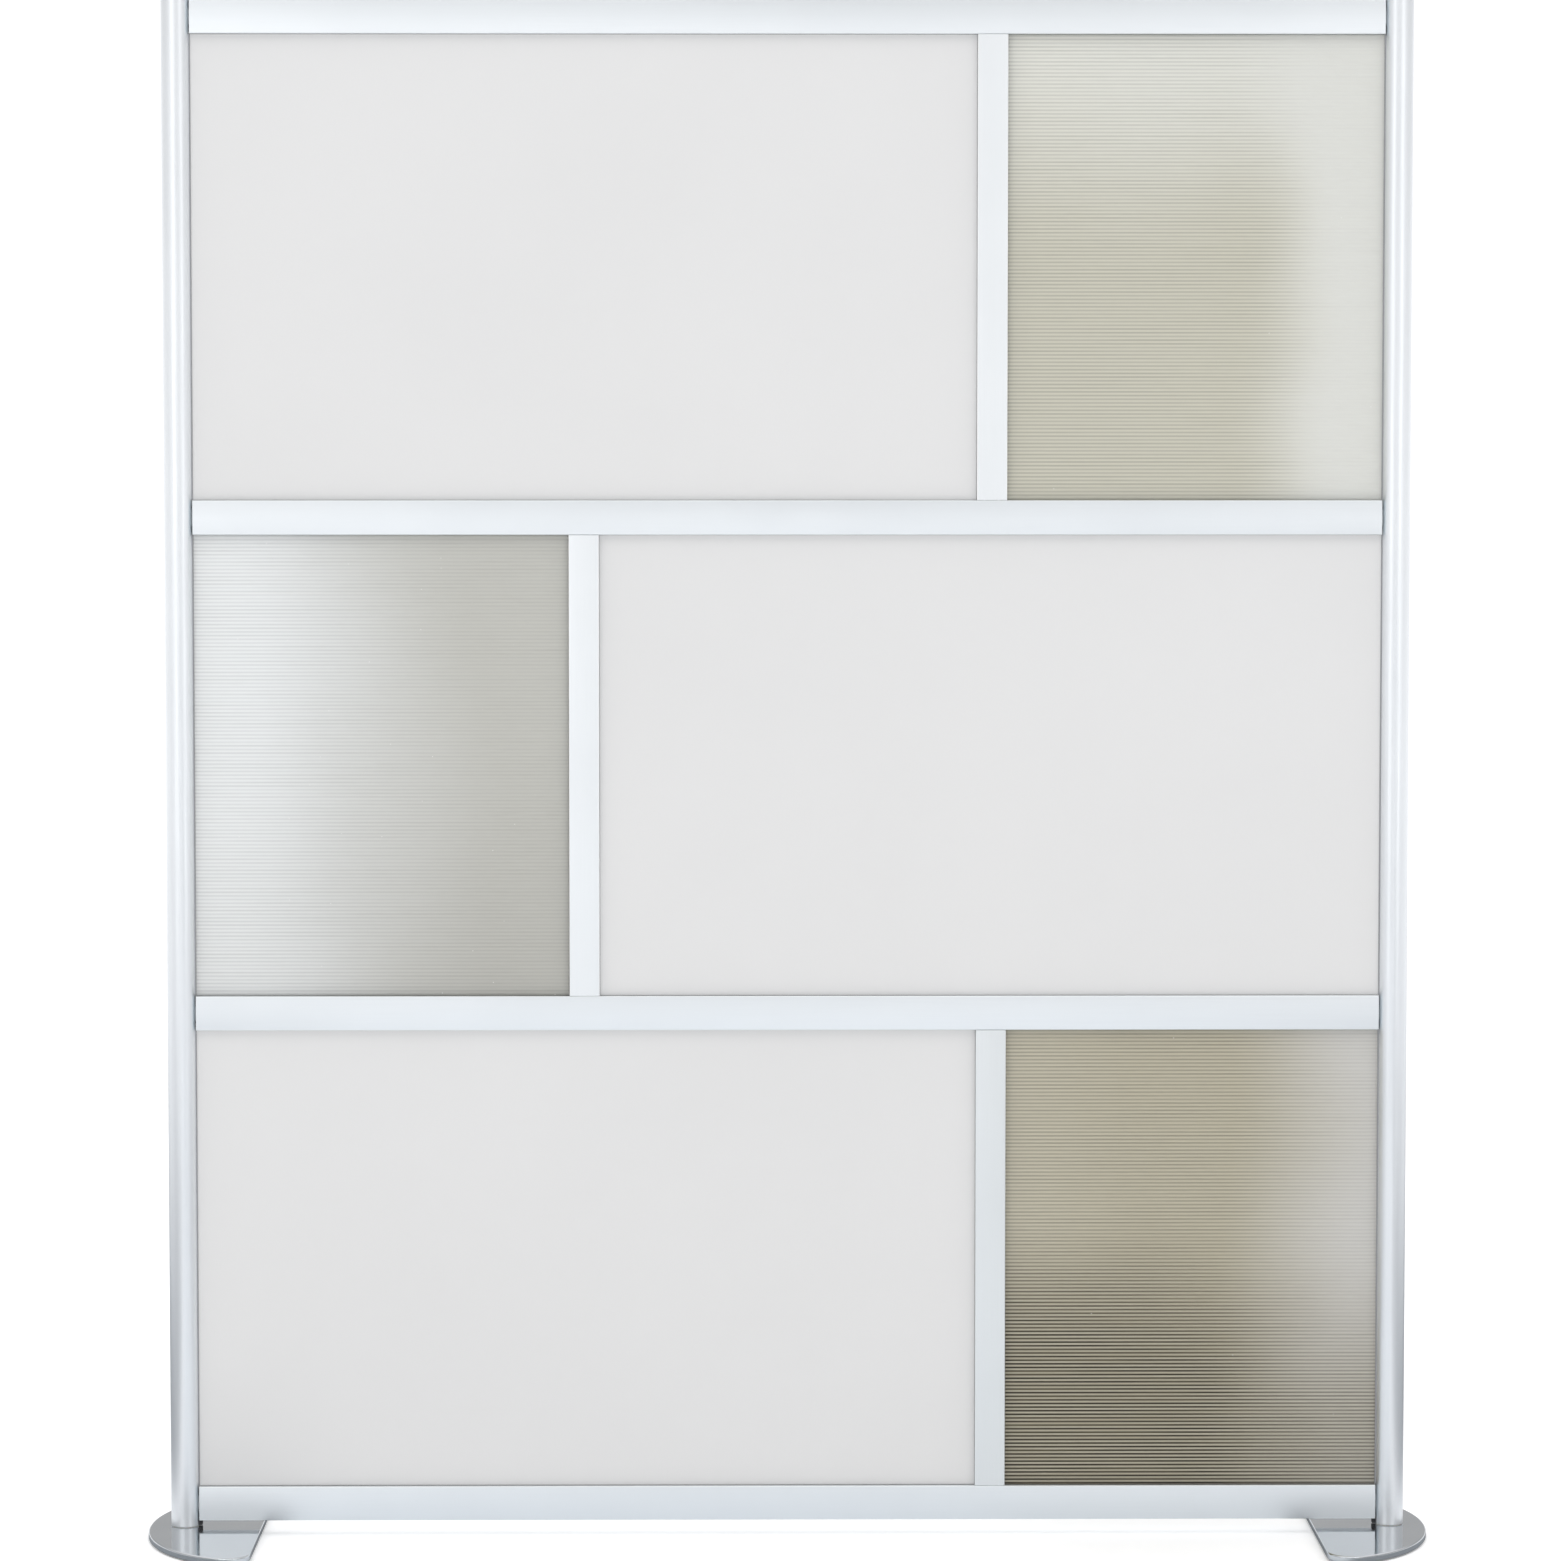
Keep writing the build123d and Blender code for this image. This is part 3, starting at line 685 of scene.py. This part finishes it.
# %% Post strips, with painted shade below the bottom rail
PAINTED_SHADE_FADE = 0.008
shaded_strip_rubber = grained(
    "strip_rubber_painted_shade", linear(138, 139, 142), linear(158, 159, 162), 1500.0, (0.55, 0.75), 0.00005)
shader = shaded_strip_rubber.node_tree.nodes["Principled BSDF"]
grey = shader.inputs["Base Color"].links[0].from_socket
surface = add(shaded_strip_rubber, "TexCoord", {}).outputs["Object"]
level = add(shaded_strip_rubber, "SeparateXYZ", {"Vector": surface}).outputs["Z"]
rail_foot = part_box("bottom_rail")[0].z
# Painted shade: the strip turns black below the bottom rail, as in the rail's shadow.
out_of_painted_shade = remap(shaded_strip_rubber, level, (rail_foot, rail_foot + PAINTED_SHADE_FADE), (0, 1))
tone = mix_colours(shaded_strip_rubber, out_of_painted_shade, linear(52, 52, 54), grey)
feed(shaded_strip_rubber, shader.inputs["Base Color"], tone)
print("strips are black below", round(rail_foot, 4))

# %% [markdown]
# Every shown piece now takes its own finish, if it has one, or else the finish of its slot. The CAD nodes
# keep their meshes, and only the material in their slot changes. A CAD node that a new piece stands for
# is hidden, so a slot without a finish may keep its plain one.

# %% Finishes onto pieces
own_finish = {
    **caps, "left_post_gaskets": shaded_strip_rubber, "right_post_gaskets": shaded_strip_rubber,
    "bottom_upright_bar": shaded_low_upright,
}
for node, piece in frame["nodes"].items():
    plain = piece.data.materials[0]
    piece.data.materials[0] = own_finish.get(node) or finishes.get(slot_of[node]) or plain
for piece in [o for o in bpy.context.scene.objects if "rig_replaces" in o]:
    if not piece.data.materials:
        piece.data.materials.append(own_finish.get(piece.name) or finishes[piece["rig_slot"]])

# %% [markdown]
# ## The studio
# A partition like this is shown on white: the floor and the room behind it are bright enough to
# vanish. But metal needs something darker to reflect, or it vanishes too. So the room is white up to just
# above the horizon, a soft grey above that, which the polished feet pick up, and white again overhead,
# where it lights the floor and puts a soft shade under each rail. Mirrors see a slightly darker ceiling
# and darker side walls than the floor does, so that the metal also reads from above and from the side.

# %% Room
STRENGTH = 1.08
SIDE_LOSS = 0.14
SKY = [(0.0, 1.05), (0.09, 1.03), (0.15, 0.42), (0.34, 0.42), (0.55, 1.05), (1.0, 1.05)]
MIRRORED_SKY = SKY[:4] + [(0.65, 0.86), (1.0, 0.72)]
world = bpy.data.worlds.new("studio_room")
bpy.context.scene.world = world
world.use_nodes = True
direction = add(world, "SeparateXYZ", {0: add(world, "TexCoord", {}).outputs["Generated"]}).outputs


def brightness_bands(stops):
    """A ramp from the horizon, at 0, to straight overhead, at 1, with a level for each stop."""
    node = add(world, "ValToRGB", {0: direction["Z"]})
    ramp = node.color_ramp
    ramp.interpolation = "EASE"
    for place, level in stops[1:-1]:
        ramp.elements.new(place)
    for element, (place, level) in zip(ramp.elements, stops):
        element.position = place
        element.color = (level, level, level * 1.005, 1)
    return node.outputs[0]


in_mirror = add(world, "LightPath", {}).outputs["Is Glossy Ray"]
light = mix_colours(world, in_mirror, brightness_bands(SKY), brightness_bands(MIRRORED_SKY))
to_side = remap(world, maths(world, "ABSOLUTE", direction["X"]), (0.75, 1.0), (0, SIDE_LOSS))
kept = maths(world, "SUBTRACT", 1.0, maths(world, "MULTIPLY", to_side, in_mirror))
background = world.node_tree.nodes["Background"]
feed(world, background.inputs["Color"], light)
feed(world, background.inputs["Strength"], maths(world, "MULTIPLY", kept, STRENGTH))
print("room with", len(SKY), "bands of light")

# %% [markdown]
# The floor is a wide pale sheet. Just above it lies a card that only mirrors see, with painted shade: it
# darkens what the posts and the bottom rail reflect near the feet, as the shade on a bare studio floor
# does, and it is invisible to the camera and casts no shadow. It is greyer in front of and behind the
# wall, greyer still out to both sides, and has a painted shadow, a dark ring, round each foot, which the
# posts mirror low down. Neither is part of the wall.


# %% Floor
def disc(name, radius, height, rings=24, spokes=96):
    """A flat disc: the point of ring i and spoke j is radius * (i / rings) ** 2 from the middle."""
    share = (np.arange(1, rings + 1) / rings) ** 2
    angle = np.linspace(0, 2 * np.pi, spokes, endpoint=False)
    x = radius * share[:, None] * np.cos(angle)
    y = radius * share[:, None] * np.sin(angle)
    points = np.stack([x, y, np.full_like(x, height)], axis=2).reshape(-1, 3)
    points = np.concatenate([points, [[0, 0, height]]])
    here = np.arange(spokes)
    there = (here + 1) % spokes
    base = np.arange(rings - 1)[:, None] * spokes
    quads = np.stack([base + here, base + here + spokes, base + there + spokes, base + there], axis=2)
    fan = np.stack([np.full(spokes, rings * spokes), here, there], axis=1)
    mesh = bpy.data.meshes.new(name)
    mesh.from_pydata(points, [], quads.reshape(-1, 4).tolist() + fan.tolist())
    piece = bpy.data.objects.new(name, mesh)
    bpy.context.scene.collection.objects.link(piece)
    return piece


floor = disc("studio_floor", 60.0, 0.0)
paper, shader = new_material("floor_paper", Roughness=0.9, Specular_IOR_Level=0.1, Emission_Strength=0.22)
tone = mix_colours(paper, noise(paper, 40.0), linear(250, 250, 250), linear(252, 252, 252))
feed(paper, shader.inputs["Base Color"], tone)
floor.data.materials.append(paper)
print("floor of", len(floor.data.polygons), "faces")

# %% Shades of the mirror card
CARD_HEIGHT = 0.0004
FOOT_SHADOW_MARGIN = Vector((0.025, 0.05, 0))
shade, shader = new_material("card_shade", Roughness=1.0, Specular_IOR_Level=0.0)
place = add(shade, "TexCoord", {}).outputs["Object"]
from_middle = add(shade, "VectorMath", {0: place}, operation="ABSOLUTE").outputs[0]
away = add(shade, "SeparateXYZ", {"Vector": from_middle}).outputs
between = remap(shade, away["X"], (0.68, 0.84), (1, 0))
near = remap(shade, away["Y"], (0.8, 7.0), (1, 0))
front = maths(shade, "MULTIPLY", between, near)
beyond = remap(shade, away["X"], (0.80, 1.25), (0, 1))
flank = maths(shade, "MULTIPLY", beyond, remap(shade, away["X"], (1.5, 4.5), (1, 0)))
# Painted shade: greyer in front of and behind the wall, and greyer still out to both sides.
tone = mix_colours(shade, front, linear(250, 251, 253), linear(232, 236, 240))
tone = mix_colours(shade, flank, tone, linear(140, 144, 148))

low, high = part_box("right_foot_plate")
centre, reach = (low + high) / 2, (high - low) / 2 + FOOT_SHADOW_MARGIN
ellipse = {
    "Vector": from_middle, "Location": (-centre.x / reach.x, 0, 0),
    "Scale": (1 / reach.x, 1 / reach.y, 0),
}
from_foot = add(shade, "Mapping", ellipse).outputs["Vector"]
radius = add(shade, "VectorMath", {0: from_foot}, operation="LENGTH").outputs["Value"]
# Painted shadow: a dark ring round each foot.
ring = remap(shade, radius, (0.9, 1.2), (1, 0))
tone = mix_colours(shade, ring, tone, linear(156, 160, 164))
feed(shade, shader.inputs["Base Color"], tone)
print("rings reach", round(reach.x, 3), "by", round(reach.y, 3), "from the middle of each foot")

# %% Mirror card
card = disc("mirror_card", 8.0, CARD_HEIGHT)
card.data.materials.append(shade)
card.visible_camera = False
card.visible_diffuse = False
card.visible_transmission = False
card.visible_shadow = False
print("card", CARD_HEIGHT, "above the floor")

# %% [markdown]
# Large soft lights do the rest. One hangs over the wall in front and one behind: they lift the panels and
# shade them under the rails. A low wide one in front lifts the bottom row, and mirrors do not see it. Tall
# ones stand to the front left and front right, and only draw the long highlights on the round posts. An
# area light's brightness is its power over pi times its area.


# %% Soft lights
def softbox(name, place, aim, size, brightness):
    """A rectangle of light at place, turned towards aim, with the power for that brightness."""
    light = bpy.data.lights.new(name, "AREA")
    light.shape = "RECTANGLE"
    light.size, light.size_y = size
    light.energy = brightness * math.pi * size[0] * size[1]
    lamp = bpy.data.objects.new(name, light)
    direction = np.array(aim, float) - np.array(place, float)
    flat = math.hypot(direction[0], direction[1])
    lamp.location = place
    lamp.rotation_euler = (math.atan2(flat, -direction[2]), 0, math.atan2(-direction[0], direction[1]))
    lamp.visible_camera = False
    bpy.context.scene.collection.objects.link(lamp)
    return lamp


softbox("over_front", (0.3, -2.6, 4.6), (0, 0, 0.9), (4.0, 2.0), 0.75)
softbox("over_back", (-0.3, 2.6, 4.6), (0, 0, 0.9), (4.0, 2.0), 0.8)
low_front = softbox("low_front", (0.0, -4.0, 0.5), (0, 0, 0.25), (4.0, 0.6), 0.8)
low_front.visible_glossy = False
strips = [
    softbox("strip_left", (-1.6, -2.4, 1.4), (-0.3, 0, 1.2), (1.5, 3.6), 0.38),
    softbox("strip_right", (2.0, -2.6, 1.4), (0.3, 0, 1.2), (1.3, 3.6), 0.36),
]
for strip in strips:
    strip.visible_diffuse = False

# %% [markdown]
# ## The camera
# It stands six and a half metres away with a long lens, at about the height of the second rail from the
# top, and looks slightly down. So the rails stay level and the feet are seen from just above. Light may
# go ten times between mirrors, or the narrow gap between a rail's end and its post turns black.

# %% Camera
LENS = 121.47
TILT_DOWN = 3.601
TURN_RIGHT = 0.499
MIRROR_BOUNCES = 10
lens = bpy.data.cameras.new("camera")
lens.sensor_fit = "HORIZONTAL"
lens.sensor_width = 36.0
lens.lens = LENS
camera = bpy.data.objects.new("camera", lens)
camera.location = (-0.0657, -6.446, 1.3383)
camera.rotation_euler = (math.radians(90 - TILT_DOWN), 0, math.radians(-TURN_RIGHT))
bpy.context.scene.collection.objects.link(camera)
bpy.context.scene.camera = camera
bpy.context.scene.view_settings.view_transform = "Standard"
bpy.context.scene.cycles.glossy_bounces = MIRROR_BOUNCES
print("camera at", tuple(camera.location))
